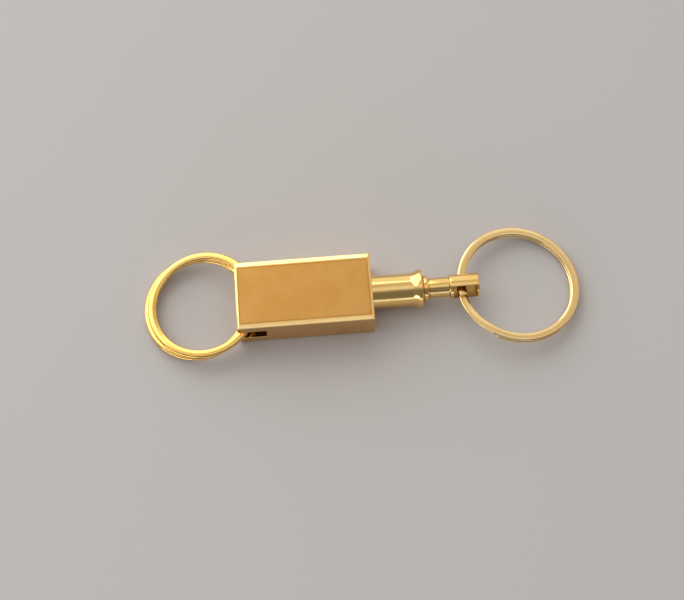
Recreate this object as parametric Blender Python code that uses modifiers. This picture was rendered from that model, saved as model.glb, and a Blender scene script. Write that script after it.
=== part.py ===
"""Quick-release key holder: a gold-plated block with a split ring at one end, and a
ball-locked socket at the other that lets go of a slotted plug and its own split ring.

Metres, +Z up. The holder lies along X on the plane z = 0, with its socket towards +X.
Stations along the turning axis are measured from the block's socket face, outwards.
"""

import math

import bmesh
import bpy
from mathutils import Matrix, Vector

mm = 0.001

# Clearances and cuts
running_gap = 0.1 * mm
press_gap = 0.04 * mm
seat_gap = 0.05 * mm
ball_gap = 0.03 * mm
overrun = 1.0 * mm
weld_distance = 0.001 * mm

# Block
block_length = 30.2 * mm
block_width = 15.6 * mm
block_height = 8.8 * mm
side_chamfer_width = 1.05 * mm
side_chamfer_depth = 0.4 * mm
end_chamfer_width = 0.55 * mm
end_chamfer_depth = 0.35 * mm
axis_height = block_height / 2

# Ring slot across the block's far end, and the pin that the ring goes round
slot_height = 3.6 * mm
slot_depth = 6.3 * mm
pin_radius = 0.6 * mm
pin_from_end = 1.2 * mm
pin_engagement = 1.4 * mm

# Socket bored in the block's other end
socket_wall = 0.6 * mm
socket_mouth_chamfer = 0.1 * mm

# Barrel pressed into the socket
barrel_radius = 2.5 * mm
barrel_bore_radius = 2.0 * mm
barrel_tail_length = 4.0 * mm
barrel_nose_radius = 2.35 * mm
barrel_mouth_chamfer = 0.12 * mm
nose_station = 12.5 * mm

# Retaining ring pressed on the barrel's nose
nose_ring_radius = 2.9 * mm
nose_ring_length = 1.15 * mm
nose_ring_round = 0.3 * mm

# Sleeve with its finger flange
sleeve_hidden_length = 6.0 * mm
sleeve_travel = 2.4 * mm
sleeve_edge = 0.2 * mm
flange_length = 2.7 * mm
flange_round = 0.3 * mm
flange_gap = 0.2 * mm
table_gap = 0.03 * mm
spring_length = 9.6 * mm
spring_wire_radius = 0.3 * mm
spring_turns = 7

# Locking balls
ball_radius = 0.6 * mm
ball_count = 3
ball_station = 7.6 * mm
ball_lift = 0.58 * mm
ball_hole_gap = 0.05 * mm

# Plug that the balls hold
plug_radius = barrel_bore_radius - running_gap
stem_radius = 2.2 * mm
stem_gap = 0.25 * mm
plug_lift = 1.2 * mm
plug_nose_land = 0.9 * mm
plug_lead_length = 1.0 * mm
plug_lead_radius = 1.2 * mm
rivet_neck_radius = 0.9 * mm
rivet_head_radius = 1.4 * mm
rivet_head_length = 0.42 * mm
rivet_crown_share = 0.6
groove_wall_share = 0.82

# Slotted head that swivels on the plug
head_station = 17.25 * mm
head_radius = 2.65 * mm
head_near_wall = 0.83 * mm
head_far_wall = 0.5 * mm
head_edge = 0.2 * mm
window_length = 5.2 * mm
window_height = 3.9 * mm
head_roll = math.radians(20)

# Split rings: outside diameter, width of the wire across the ring, height of one turn
left_ring_diameter = 25.2 * mm
left_wire_width = 1.9 * mm
left_turn_height = 1.14 * mm
left_turn_shift = 1.2 * mm
left_ring_pin_gap = 0.1 * mm
left_ring_yaw = math.radians(-3.2)
left_step_at = 0
left_step_arc = math.radians(34)
right_ring_diameter = 28.0 * mm
right_wire_width = 1.92 * mm
right_turn_height = 0.88 * mm
right_turn_shift = 0 * mm
right_ring_roll = math.radians(3)
right_wire_into_window = 1.85 * mm
right_step_at = math.radians(217)
right_step_arc = math.radians(48)
turn_gap = 0.12 * mm
step_end_arc = math.radians(2)
section_steps = 12
squareness_share = 0.77

# Facets
round_steps = 48
small_round_steps = 24
ball_steps = 8
coil_steps_per_turn = 48
spring_steps_per_turn = 14
flare_steps = 8

gold_polished = (0.93, 0.68, 0.30)
gold_satin = (0.80, 0.46, 0.15)
steel = (0.62, 0.61, 0.58)

# Stations that follow from the sizes above
sleeve_front = nose_station - nose_ring_length - flange_gap
sleeve_rear = -sleeve_hidden_length
spring_seat = sleeve_rear - spring_length
barrel_rear = spring_seat - barrel_tail_length
nose_shoulder = nose_station - nose_ring_length - seat_gap
sleeve_bore_radius = barrel_radius + running_gap
counterbore_radius = axis_height - socket_wall
sleeve_radius = counterbore_radius - running_gap
flange_radius = axis_height - table_gap
ball_orbit = sleeve_bore_radius - ball_radius - seat_gap / 2
window_start = head_station + head_near_wall
window_end = window_start + window_length
head_end = window_end + head_far_wall


def start_empty_scene():
    for thing in list(bpy.data.objects):
        bpy.data.objects.remove(thing, do_unlink=True)


def new_collection(name):
    collection = bpy.data.collections.new(name)
    bpy.context.scene.collection.children.link(collection)
    return collection


def metal(name, colour, roughness):
    material = bpy.data.materials.new(name)
    material.use_nodes = True
    shader = material.node_tree.nodes["Principled BSDF"]
    shader.inputs["Base Color"].default_value = (*colour, 1)
    shader.inputs["Metallic"].default_value = 1
    shader.inputs["Roughness"].default_value = roughness
    return material


def new_part(name, mesh, collection, material=None, parent=None):
    part = bpy.data.objects.new(name, mesh)
    collection.objects.link(part)
    part.parent = parent
    if material:
        mesh.materials.append(material)
    return part


def new_empty(name, collection, parent=None, matrix=None):
    empty = bpy.data.objects.new(name, None)
    collection.objects.link(empty)
    empty.empty_display_size = block_width / 4
    empty.parent = parent
    if matrix:
        empty.matrix_local = matrix
    return empty


def mesh_from(form, name):
    bmesh.ops.recalc_face_normals(form, faces=form.faces)
    mesh = bpy.data.meshes.new(name)
    form.to_mesh(mesh)
    form.free()
    return mesh


def smooth(part):
    part.data.shade_smooth()
    part.data.set_sharp_from_angle(angle=math.radians(32))


# A turned shape: outline points are (radius, station), and its local Z is the turning axis
def turned(name, outline, collection, material=None, parent=None, closed=False, steps=round_steps):
    form = bmesh.new()
    points = [form.verts.new((radius, 0, station)) for radius, station in outline]
    for here, there in zip(points, points[1:]):
        form.edges.new((here, there))
    if closed:
        form.edges.new((points[-1], points[0]))
    mesh = bpy.data.meshes.new(name)
    form.to_mesh(mesh)
    form.free()
    part = new_part(name, mesh, collection, material, parent)
    screw = part.modifiers.new("turn", "SCREW")
    screw.axis = "Z"
    screw.angle = math.tau
    screw.steps = steps
    screw.render_steps = steps
    screw.use_merge_vertices = True
    screw.merge_threshold = weld_distance
    screw.use_smooth_shade = True
    return part


def along_x(station=0.0):
    """Local Z laid along the holder's X, with the origin at a station."""
    return Matrix.Translation((station, 0, 0)) @ Matrix.Rotation(math.pi / 2, 4, "Y")


def box(name, low, high, collection, material=None, parent=None):
    form = bmesh.new()
    bmesh.ops.create_cube(form, size=1)
    size = Vector(high) - Vector(low)
    middle = (Vector(high) + Vector(low)) / 2
    bmesh.ops.scale(form, vec=size, verts=form.verts)
    bmesh.ops.translate(form, vec=middle, verts=form.verts)
    return new_part(name, mesh_from(form, name), collection, material, parent)


def rod_mesh(name, radius, start, end, steps):
    """A cylinder along local Z between two heights."""
    form = bmesh.new()
    bmesh.ops.create_cone(form, cap_ends=True, segments=steps, radius1=radius, radius2=radius,
                          depth=end - start)
    bmesh.ops.translate(form, vec=(0, 0, (start + end) / 2), verts=form.verts)
    return mesh_from(form, name)


def cut(part, cutter):
    cutter.hide_render = True
    cutter.display_type = "WIRE"
    boolean = part.modifiers.new(cutter.name, "BOOLEAN")
    boolean.operation = "DIFFERENCE"
    boolean.object = cutter


# Block: a bar whose top and bottom faces have polished chamfers, broader along the sides
def chamfered_bar(name):
    form = bmesh.new()
    bmesh.ops.create_cube(form, size=1)
    bmesh.ops.scale(form, vec=(block_length, block_width, block_height), verts=form.verts)
    corner = Vector((block_length, block_width, block_height)) / 2
    for up in (1, -1):
        for outward in (1, -1):
            end = Vector((outward * corner.x, 0, up * corner.z))
            side = Vector((0, outward * corner.y, up * corner.z))
            shave(form, side, side_chamfer_width, side_chamfer_depth)
            shave(form, end, end_chamfer_width, end_chamfer_depth)
    bmesh.ops.translate(form, vec=(-block_length / 2, 0, 0), verts=form.verts)
    return mesh_from(form, name)


def shave(form, edge_middle, width, depth):
    """Cut one long edge off a bar that is centred on the origin."""
    level = Vector((edge_middle.x, edge_middle.y, 0)).normalized()
    upright = Vector((0, 0, edge_middle.z)).normalized()
    everything = form.verts[:] + form.edges[:] + form.faces[:]
    sliced = bmesh.ops.bisect_plane(form, geom=everything, plane_co=edge_middle - level * width,
                                    plane_no=level * depth + upright * width, clear_outer=True)
    rim = [piece for piece in sliced["geom_cut"] if isinstance(piece, bmesh.types.BMEdge)]
    bmesh.ops.edgeloop_fill(form, edges=rim)


def make_block(parts, cutters, gold, frame):
    block = new_part("body_block", chamfered_bar("body_block"), parts, gold, frame)
    far_end = -block_length
    slot = box("slot_cut", (far_end - overrun, -block_width, -slot_height / 2),
               (far_end + slot_depth, block_width, slot_height / 2), cutters, parent=frame)
    cut(block, slot)
    pin_hole = new_part(
        "pin_hole_cut",
        rod_mesh("pin_hole_cut", pin_radius + press_gap, -axis_height - overrun,
                 slot_height / 2 + pin_engagement + seat_gap, small_round_steps),
        cutters, parent=frame)
    pin_hole.location = (far_end + pin_from_end, 0, 0)
    cut(block, pin_hole)
    socket = turned("socket_cut", [
        (0, overrun),
        (counterbore_radius + socket_mouth_chamfer + overrun, overrun),
        (counterbore_radius, -socket_mouth_chamfer),
        (counterbore_radius, spring_seat),
        (barrel_radius + press_gap, spring_seat),
        (barrel_radius + press_gap, barrel_rear),
        (0, barrel_rear),
    ], cutters, parent=frame)
    socket.matrix_local = along_x()
    cut(block, socket)
    return block


def make_ring_pin(parts, metal_used, frame):
    mesh = rod_mesh("ring_pin", pin_radius, -axis_height + seat_gap,
                    slot_height / 2 + pin_engagement, small_round_steps)
    pin = new_part("ring_pin", mesh, parts, metal_used, frame)
    pin.location = (-block_length + pin_from_end, 0, 0)
    return pin


# Barrel: the fixed tube that guides the plug and holds the balls in three radial holes
def make_barrel(parts, cutters, gold, frame):
    bore_end = plug_nose_end() - running_gap * 4
    barrel = turned("barrel", [
        (0, bore_end),
        (barrel_bore_radius, bore_end),
        (barrel_bore_radius, nose_station - barrel_mouth_chamfer),
        (barrel_bore_radius + barrel_mouth_chamfer, nose_station),
        (barrel_nose_radius, nose_station),
        (barrel_nose_radius, nose_shoulder),
        (barrel_radius, nose_shoulder),
        (barrel_radius, barrel_rear + seat_gap),
        (0, barrel_rear + seat_gap),
    ], parts, gold, frame)
    barrel.matrix_local = along_x()
    for number in range(ball_count):
        name = f"ball_hole_cut_{number + 1}"
        mesh = rod_mesh(name, ball_radius + ball_hole_gap, plug_radius / 2,
                        barrel_radius + overrun, small_round_steps)
        hole = new_part(name, mesh, cutters, parent=frame)
        hole.matrix_local = ball_direction(number)
        cut(barrel, hole)
    return barrel


def ball_direction(number):
    """Local Z pointing out along one ball's path, from the turning axis."""
    turn = Matrix.Rotation(math.tau * number / ball_count, 4, "X")
    return Matrix.Translation((ball_station, 0, 0)) @ turn


def make_nose_ring(parts, gold, frame):
    rear = nose_station - nose_ring_length
    rounding = [(nose_ring_radius - nose_ring_round * (1 - math.sin(angle)),
                 nose_ring_round * (1 - math.cos(angle))) for angle in quarter_turn(4)]
    ring = turned("nose_ring", [
        (barrel_nose_radius + press_gap, nose_station),
        *[(radius, nose_station - inward) for radius, inward in rounding],
        *[(radius, rear + inward) for radius, inward in reversed(rounding)],
        (barrel_nose_radius + press_gap, rear),
    ], parts, gold, frame, closed=True)
    ring.matrix_local = along_x()
    return ring


def quarter_turn(count):
    return [math.pi / 2 * step / count for step in range(count + 1)]


def squared(angle):
    """Cosine and sine of an angle, drawn out towards the corners of a square."""
    return [math.copysign(abs(share) ** squareness_share, share)
            for share in (math.cos(angle), math.sin(angle))]


def flange_outline():
    """From the sleeve's front face over a rounded crest, then down a flare to the tube."""
    crest = [(flange_radius - flange_round * (1 - math.sin(angle)),
              sleeve_front - flange_round * (1 - math.cos(angle))) for angle in quarter_turn(4)]
    flare = []
    for step in range(1, flare_steps + 1):
        share = step / flare_steps
        rise = (1 + math.cos(math.pi * share)) / 2
        flare.append((sleeve_radius + (flange_radius - sleeve_radius) * rise,
                      sleeve_front - flange_round - (flange_length - flange_round) * share))
    return crest + flare


# Sleeve: its bore holds the balls in, and opens in a cone that lets them out as it is drawn back
def make_sleeve(parts, gold, frame):
    cone_slope = ball_lift / sleeve_travel
    cone_angle = math.atan(cone_slope)
    reach = ball_radius + ball_gap
    cone_from = ball_station - reach * math.sin(cone_angle)
    cone_from_radius = ball_orbit + reach * math.cos(cone_angle)
    pocket_radius = ball_orbit + ball_lift + reach + ball_gap
    cone_end = cone_from + (pocket_radius - cone_from_radius) / cone_slope
    cone_start = cone_from + (sleeve_bore_radius - cone_from_radius) / cone_slope
    pocket_end = ball_station + sleeve_travel + reach + ball_gap
    sleeve = turned("sliding_sleeve", [
        (sleeve_bore_radius, sleeve_front),
        *flange_outline(),
        (sleeve_radius, sleeve_rear + sleeve_edge),
        (sleeve_radius - sleeve_edge, sleeve_rear),
        (sleeve_bore_radius, sleeve_rear),
        (sleeve_bore_radius, cone_start),
        (pocket_radius, cone_end),
        (pocket_radius, pocket_end),
        (sleeve_bore_radius, pocket_end),
    ], parts, gold, frame, closed=True)
    sleeve.matrix_local = along_x()
    return sleeve


def make_spring(parts, metal_used, frame):
    mean_radius = (counterbore_radius + barrel_radius) / 2
    start = spring_seat + spring_wire_radius + seat_gap
    end = sleeve_rear - spring_wire_radius - seat_gap
    count = spring_turns * spring_steps_per_turn
    places = []
    for step in range(count + 1):
        angle = math.tau * spring_turns * step / count
        station = start + (end - start) * step / count
        places.append((station, mean_radius * math.cos(angle), mean_radius * math.sin(angle)))
    spring = tube("return_spring", places, spring_wire_radius, parts, metal_used, frame)
    return spring


def tube(name, places, radius, collection, material, parent):
    curve = bpy.data.curves.new(name, "CURVE")
    curve.dimensions = "3D"
    curve.bevel_depth = radius
    curve.bevel_resolution = 2
    curve.use_fill_caps = True
    line = curve.splines.new("POLY")
    line.points.add(len(places) - 1)
    for point, place in zip(line.points, places):
        point.co = (*place, 1)
    return new_part(name, curve, collection, material, parent)


def make_balls(parts, metal_used, frame):
    balls = []
    for number in range(ball_count):
        form = bmesh.new()
        bmesh.ops.create_uvsphere(form, u_segments=ball_steps * 2, v_segments=ball_steps,
                                  radius=ball_radius)
        name = f"lock_ball_{number + 1}"
        ball = new_part(name, mesh_from(form, name), parts, metal_used, frame)
        ball.matrix_local = ball_direction(number) @ Matrix.Translation((0, 0, ball_orbit))
        smooth(ball)
        balls.append(ball)
    return balls


# Plug: its groove slopes at the rate at which the balls leave it
def plug_flank():
    slope = ball_lift / plug_lift
    angle = math.atan(slope)
    reach = ball_radius + ball_gap
    place = ball_station - reach * math.sin(angle)
    radius = ball_orbit - reach * math.cos(angle)
    return slope, place, radius


def plug_groove_radius():
    return ball_orbit - ball_radius - ball_gap


def plug_flank_top():
    slope, place, radius = plug_flank()
    return place - (plug_radius - radius) / slope


def plug_nose_end():
    return plug_flank_top() - plug_nose_land - plug_lead_length


def make_plug(parts, gold, frame):
    slope, place, radius = plug_flank()
    groove = plug_groove_radius()
    flank_foot = place + (radius - groove) / slope
    wall_foot = ball_station + ball_radius / 2
    wall_top = wall_foot + (plug_radius - groove) * groove_wall_share
    shoulder = head_station - seat_gap
    rivet = window_start + seat_gap
    plug = turned("plug_stem", [
        (0, rivet + rivet_head_length),
        (rivet_head_radius * rivet_crown_share, rivet + rivet_head_length),
        (rivet_head_radius, rivet + rivet_head_length / 2),
        (rivet_head_radius, rivet),
        (rivet_neck_radius, rivet),
        (rivet_neck_radius, shoulder),
        (stem_radius, shoulder),
        (stem_radius, nose_station + stem_gap),
        (plug_radius, nose_station + stem_gap),
        (plug_radius, wall_top),
        (groove, wall_foot),
        (groove, flank_foot),
        (plug_radius, plug_flank_top()),
        (plug_radius, plug_flank_top() - plug_nose_land),
        (plug_lead_radius, plug_nose_end()),
        (0, plug_nose_end()),
    ], parts, gold, frame)
    plug.matrix_local = along_x()
    return plug


# Head: a short bar end with a window milled through it for the right-hand ring
def make_head(parts, cutters, gold, frame):
    head = turned("swivel_head", [
        (0, head_end),
        (head_radius - head_edge, head_end),
        (head_radius, head_end - head_edge),
        (head_radius, head_station + head_edge),
        (head_radius - head_edge, head_station),
        (rivet_neck_radius + running_gap, head_station),
        (rivet_neck_radius + running_gap, window_start + window_length / 2),
        (0, window_start + window_length / 2),
    ], parts, gold, frame)
    head.matrix_local = along_x()
    window = box("window_cut", (window_start, -head_radius * 2, -window_height / 2),
                 (window_end, head_radius * 2, window_height / 2), cutters, parent=frame)
    cut(head, window)
    return head


# Split ring: flat wire wound in two level turns, with a step where it climbs from one to the other
def split_ring_places(mid_radius, turn_height, turn_shift, step_at, step_arc):
    rise = (turn_height + turn_gap) / 2
    begin = step_arc / 2 + step_end_arc
    finish = 2 * math.tau - step_arc / 2 - step_end_arc
    count = 2 * coil_steps_per_turn
    places = []
    for number in range(count + 1):
        angle = begin + (finish - begin) * number / count
        across = (angle - math.tau) / step_arc
        share = min(1, max(0, across + 0.5))
        climb = 2 * share * share * (3 - 2 * share) - 1
        turn = angle + step_at
        places.append((mid_radius * math.cos(turn) + turn_shift / 2 * climb,
                       mid_radius * math.sin(turn), rise * climb))
    return places


def wire_section(name, width, height, collection):
    """A flattened wire's crowned section, as a closed 2D curve."""
    curve = bpy.data.curves.new(name, "CURVE")
    curve.dimensions = "2D"
    line = curve.splines.new("POLY")
    line.points.add(section_steps - 1)
    for number, point in enumerate(line.points):
        across, up = squared(math.tau * number / section_steps)
        point.co = (width / 2 * across, height / 2 * up, 0, 1)
    line.use_cyclic_u = True
    section = bpy.data.objects.new(name, curve)
    collection.objects.link(section)
    section.hide_render = True
    return section


def make_split_ring(name, sizes, step, parts, cutters, gold, frame):
    diameter, width, turn_height, turn_shift = sizes
    section = wire_section(f"{name}_section", width, turn_height, cutters)
    curve = bpy.data.curves.new(name, "CURVE")
    curve.dimensions = "3D"
    curve.twist_mode = "Z_UP"
    curve.bevel_mode = "OBJECT"
    curve.bevel_object = section
    curve.use_fill_caps = True
    places = split_ring_places((diameter - width) / 2, turn_height, turn_shift, *step)
    line = curve.splines.new("POLY")
    line.points.add(len(places) - 1)
    for point, place in zip(line.points, places):
        point.co = (*place, 1)
    wound = new_part(name + "_path", curve, cutters)
    bpy.context.view_layer.update()
    mesh = bpy.data.meshes.new_from_object(wound.evaluated_get(bpy.context.evaluated_depsgraph_get()))
    bpy.data.objects.remove(wound)
    form = bmesh.new()
    form.from_mesh(mesh)
    bmesh.ops.remove_doubles(form, verts=form.verts, dist=weld_distance)
    bmesh.ops.recalc_face_normals(form, faces=form.faces)
    form.to_mesh(mesh)
    form.free()
    mesh.name = name
    ring = new_part(name, mesh, parts, gold, frame)
    smooth(ring)
    return ring


def solve(balance, low, high):
    """The angle between two bounds at which a falling balance crosses zero."""
    for _ in range(60):
        middle = (low + high) / 2
        if balance(middle) > 0:
            low = middle
        else:
            high = middle
    return (low + high) / 2


def ring_half_height(turn_height):
    return turn_height + turn_gap / 2


def ring_drop(outer, width, turn_height, tilt):
    """How far a tilted ring's lowest point lies below its centre, midway between its two turns."""
    drops = []
    for number in range(section_steps):
        across, up = squared(math.tau * number / section_steps)
        reach = outer - width / 2 * (1 - across)
        level = (turn_height + turn_gap) / 2 + turn_height / 2 * up
        drops.append(reach * math.sin(tilt) + level * math.cos(tilt))
    return max(drops)


# The left ring leans on the slot's lower lip and on the table
def left_ring_frame():
    half_height = ring_half_height(left_turn_height)
    outer = left_ring_diameter / 2
    inner = outer - left_wire_width
    reach = inner - pin_radius - left_ring_pin_gap
    lip = axis_height - slot_height / 2 + running_gap

    def pin_height_by_lip(tilt):
        return lip + half_height / math.cos(tilt) + pin_from_end * math.tan(tilt)

    def pin_height_by_table(tilt):
        return reach * math.sin(tilt) + ring_drop(outer, left_wire_width, left_turn_height, tilt)

    tilt = solve(lambda angle: pin_height_by_lip(angle) - pin_height_by_table(angle), 0, math.pi / 6)
    height = pin_height_by_lip(tilt) - axis_height
    place = Matrix.Translation((-block_length + pin_from_end, 0, height))
    lean = Matrix.Rotation(left_ring_yaw, 4, "Z") @ Matrix.Rotation(-tilt, 4, "Y")
    return place, lean @ Matrix.Translation((left_turn_shift / 2 - reach, 0, 0))


# The right ring hangs through the head's window and rests its far side on the table
def right_ring_frame():
    outer = right_ring_diameter / 2
    middle = outer - right_wire_width / 2
    roll = Matrix.Rotation(-right_ring_roll, 4, "X")

    def lean(tilt):
        return roll @ Matrix.Rotation(tilt, 4, "Y")

    def lowest(tilt):
        turn = lean(tilt)
        centre = turn @ Vector((middle, 0, 0))
        lean_angle = math.acos((turn @ Vector((0, 0, 1))).z)
        return axis_height + centre.z - ring_drop(outer, right_wire_width, right_turn_height, lean_angle)

    tilt = solve(lowest, 0, math.pi / 6)
    place = Matrix.Translation((window_start + right_wire_into_window, 0, 0))
    return place @ roll, Matrix.Rotation(tilt, 4, "Y") @ Matrix.Translation((middle, 0, 0))


def bounds(parts):
    graph = bpy.context.evaluated_depsgraph_get()
    places = []
    for part in parts.objects:
        if part.type == "EMPTY":
            continue
        solid = part.evaluated_get(graph)
        mesh = solid.to_mesh()
        places += [solid.matrix_world @ vert.co for vert in mesh.vertices]
        solid.to_mesh_clear()
    return [[pick(place[axis] for place in places) for axis in range(3)] for pick in (min, max)]


def build():
    start_empty_scene()
    parts = new_collection("quick_release_key_holder")
    cutters = new_collection("cutters")
    gold = metal("polished_gold_plate", gold_polished, 0.16)
    satin = metal("satin_gold_plate", gold_satin, 0.3)
    bright_steel = metal("bright_steel", steel, 0.25)

    frame = new_empty("holder_frame", parts)
    frame.location = (0, 0, axis_height)
    make_block(parts, cutters, satin, frame)
    make_ring_pin(parts, gold, frame)
    make_barrel(parts, cutters, gold, frame)
    make_nose_ring(parts, gold, frame)
    make_sleeve(parts, gold, frame)
    make_spring(parts, bright_steel, frame)
    make_balls(parts, bright_steel, frame)
    make_plug(parts, gold, frame)

    head_frame = new_empty("head_frame", parts, frame, Matrix.Rotation(-head_roll, 4, "X"))
    make_head(parts, cutters, gold, head_frame)

    left_place, left_lean = left_ring_frame()
    left_pivot = new_empty("left_ring_pivot", parts, frame, left_place)
    left_sizes = (left_ring_diameter, left_wire_width, left_turn_height, left_turn_shift)
    left_ring = make_split_ring("left_split_ring", left_sizes, (left_step_at, left_step_arc),
                                parts, cutters, gold, left_pivot)
    left_ring.matrix_local = left_lean

    right_place, right_lean = right_ring_frame()
    right_pivot = new_empty("right_ring_pivot", parts, frame, right_place)
    right_sizes = (right_ring_diameter, right_wire_width, right_turn_height, right_turn_shift)
    right_ring = make_split_ring("right_split_ring", right_sizes, (right_step_at, right_step_arc),
                                 parts, cutters, gold, right_pivot)
    right_ring.matrix_local = right_lean

    bpy.context.view_layer.update()
    low, high = bounds(parts)
    frame.location.x -= (low[0] + high[0]) / 2
    frame.location.y -= (low[1] + high[1]) / 2
    bpy.context.view_layer.update()
    low, high = bounds(parts)
    size = [round((high[axis] - low[axis]) / mm, 2) for axis in range(3)]
    print("Key holder, millimetres:", size, "lowest point", round(low[2] / mm, 3))


build()
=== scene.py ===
# %% [markdown]
# A quick-release key holder, dressed for a studio photograph
#
# The holder is a gold-plated bar with a split ring in each end. Its mechanism was modelled as
# solids first, and that model is loaded here as a fixed frame. This lesson builds the surfaces
# that the eye sees: rounded edges, wound wire, brushed and polished plating.

# %% Load the solid model
import math

import bmesh
import bpy
from mathutils import Matrix, Vector


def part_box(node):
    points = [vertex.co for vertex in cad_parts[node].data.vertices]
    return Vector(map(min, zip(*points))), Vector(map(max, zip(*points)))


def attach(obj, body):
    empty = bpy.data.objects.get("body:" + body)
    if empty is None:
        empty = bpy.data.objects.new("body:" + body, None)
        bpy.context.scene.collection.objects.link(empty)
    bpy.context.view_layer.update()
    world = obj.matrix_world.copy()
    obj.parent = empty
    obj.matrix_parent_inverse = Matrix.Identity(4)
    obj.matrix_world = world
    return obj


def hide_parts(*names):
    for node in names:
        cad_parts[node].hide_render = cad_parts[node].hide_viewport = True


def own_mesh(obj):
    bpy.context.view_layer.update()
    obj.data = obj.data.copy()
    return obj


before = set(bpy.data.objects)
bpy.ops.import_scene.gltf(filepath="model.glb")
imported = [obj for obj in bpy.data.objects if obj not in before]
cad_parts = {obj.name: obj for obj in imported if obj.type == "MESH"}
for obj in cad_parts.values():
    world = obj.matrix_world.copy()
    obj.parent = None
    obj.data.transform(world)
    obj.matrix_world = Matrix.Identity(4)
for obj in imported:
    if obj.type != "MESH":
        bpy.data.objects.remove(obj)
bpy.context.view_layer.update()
mm = 0.001

# %% [markdown]
# Every piece is placed from one point: the centre of the block's socket face. The turned
# pieces share the axis that runs out of it along X.

# %% Find the socket face and the turning axis
block_low, block_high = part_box("body_block")
socket_face = Vector((
    block_high.x, (block_low.y + block_high.y) / 2, (block_low.z + block_high.z) / 2))
print("Socket face centre, millimetres:", [round(v / mm, 3) for v in socket_face])

# %% [markdown]
# The photograph looks down on the holder from the front, at about 69 degrees. A lens of 68 mm on
# a 36 mm sensor at arm's length gives its mild perspective, which shows at the block's far end.

# %% Camera
camera_elevation = math.radians(69.41)
camera_azimuth = math.radians(-3.10)
camera_roll = math.radians(-1.46)
camera_distance = 288.9 * mm
camera_aim = socket_face + Vector((-6.81, -1.35, 0.35)) * mm
sensor_width = 36
picture_width = 684
focal_length_in_pixels = 1300

towards_camera = Vector((
    math.sin(camera_azimuth) * math.cos(camera_elevation),
    -math.cos(camera_azimuth) * math.cos(camera_elevation),
    math.sin(camera_elevation),
))
level_right = Vector((math.cos(camera_azimuth), math.sin(camera_azimuth), 0))
level_up = towards_camera.cross(level_right)
picture_right = level_right * math.cos(camera_roll) + level_up * math.sin(camera_roll)
picture_up = level_up * math.cos(camera_roll) - level_right * math.sin(camera_roll)

camera = bpy.data.objects.new("photo_camera", bpy.data.cameras.new("photo_camera"))
bpy.context.scene.collection.objects.link(camera)
camera.data.sensor_width = sensor_width
camera.data.lens = sensor_width * focal_length_in_pixels / picture_width
camera.data.clip_start = 0.01
camera.data.clip_end = 20
turn = Matrix((picture_right, picture_up, towards_camera)).transposed()
camera_place = camera_aim + towards_camera * camera_distance
camera.matrix_world = Matrix.Translation(camera_place) @ turn.to_4x4()
bpy.context.scene.camera = camera
bpy.context.scene.view_settings.view_transform = "Standard"
print("Camera at, millimetres:", [round(v / mm, 1) for v in camera.matrix_world.translation])

# %% [markdown]
# Node trees repeat the same few moves: add a node, feed a socket, do a sum, stretch a range. Each
# gets a short helper here, so the metals below read as recipes and not as wiring.

# %% Helpers for node trees


def add(tree, kind, **settings):
    node = tree.nodes.new(kind)
    for name, value in settings.items():
        setattr(node, name, value)
    return node


def put(tree, socket, value):
    if isinstance(value, bpy.types.NodeSocket):
        tree.links.new(value, socket)
    else:
        socket.default_value = value


def calculate(tree, operation, first, second=0.0, clamp=False):
    node = add(tree, "ShaderNodeMath", operation=operation, use_clamp=clamp)
    put(tree, node.inputs[0], first)
    put(tree, node.inputs[1], second)
    return node.outputs[0]


def remap(tree, value, low, high, to_low=0.0, to_high=1.0):
    node = add(tree, "ShaderNodeMapRange", interpolation_type="SMOOTHSTEP")
    for place, number in zip(range(5), (value, low, high, to_low, to_high)):
        put(tree, node.inputs[place], number)
    return node.outputs[0]


# %% [markdown]
# Polished metal has no colour of its own to show: it shows its surroundings, tinted. So the
# surroundings are the first material. A pale floor lies under the holder, a hair below it so that
# no two surfaces share a plane.

# %% Floor
floor_radius = 3.0
floor_gap = 0.02 * mm
floor_form = bmesh.new()
bmesh.ops.create_circle(floor_form, cap_ends=True, radius=floor_radius, segments=96)
bmesh.ops.translate(floor_form, vec=(0, 0, -floor_gap), verts=floor_form.verts)
floor_mesh = bpy.data.meshes.new("studio_floor")
floor_form.to_mesh(floor_mesh)
floor_form.free()
floor = bpy.data.objects.new("studio_floor", floor_mesh)
bpy.context.scene.collection.objects.link(floor)

floor_paper = bpy.data.materials.new("floor_paper")
floor_paper.use_nodes = True
paper = floor_paper.node_tree.nodes["Principled BSDF"]
paper.inputs["Base Color"].default_value = (0.58, 0.57, 0.56, 1)
paper.inputs["Roughness"].default_value = 0.9
paper.inputs["Specular IOR Level"].default_value = 0.2
floor_mesh.materials.append(floor_paper)
print("Floor radius, metres:", floor_radius)

# %% [markdown]
# The room is a soft gradient, read as an angle that rises from the back horizon, passes overhead
# and comes down to the front one. It is bright behind, pale overhead, dark in front where a
# photographer leans in, and has a cool bright strip low in front. Those are the bands that show
# along the sleeve. The left side is bright, the right side a little dimmer, and both fade towards
# the front.

# %% Room
# each stop: its share of the way from the back horizon to the front one, and its colour
back_to_front = [
    (0.00, (1.00, 0.98, 0.93)), (0.24, (1.00, 0.98, 0.93)), (0.29, (0.94, 0.91, 0.84)),
    (0.34, (0.70, 0.65, 0.57)), (0.39, (0.62, 0.56, 0.46)), (0.42, (0.70, 0.63, 0.54)),
    (0.47, (0.88, 0.83, 0.80)), (0.53, (0.90, 0.87, 0.92)), (0.565, (0.78, 0.76, 0.84)),
    (0.60, (0.44, 0.43, 0.45)), (0.64, (0.26, 0.25, 0.25)), (0.69, (0.20, 0.20, 0.20)),
    (0.88, (0.20, 0.20, 0.20)), (0.925, (0.38, 0.39, 0.44)), (0.955, (1.15, 1.28, 1.60)),
    (1.00, (1.15, 1.28, 1.60)),
]
left_of_room = (0.80, 0.79, 0.84)
right_of_room = (0.74, 0.60, 0.52)

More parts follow.
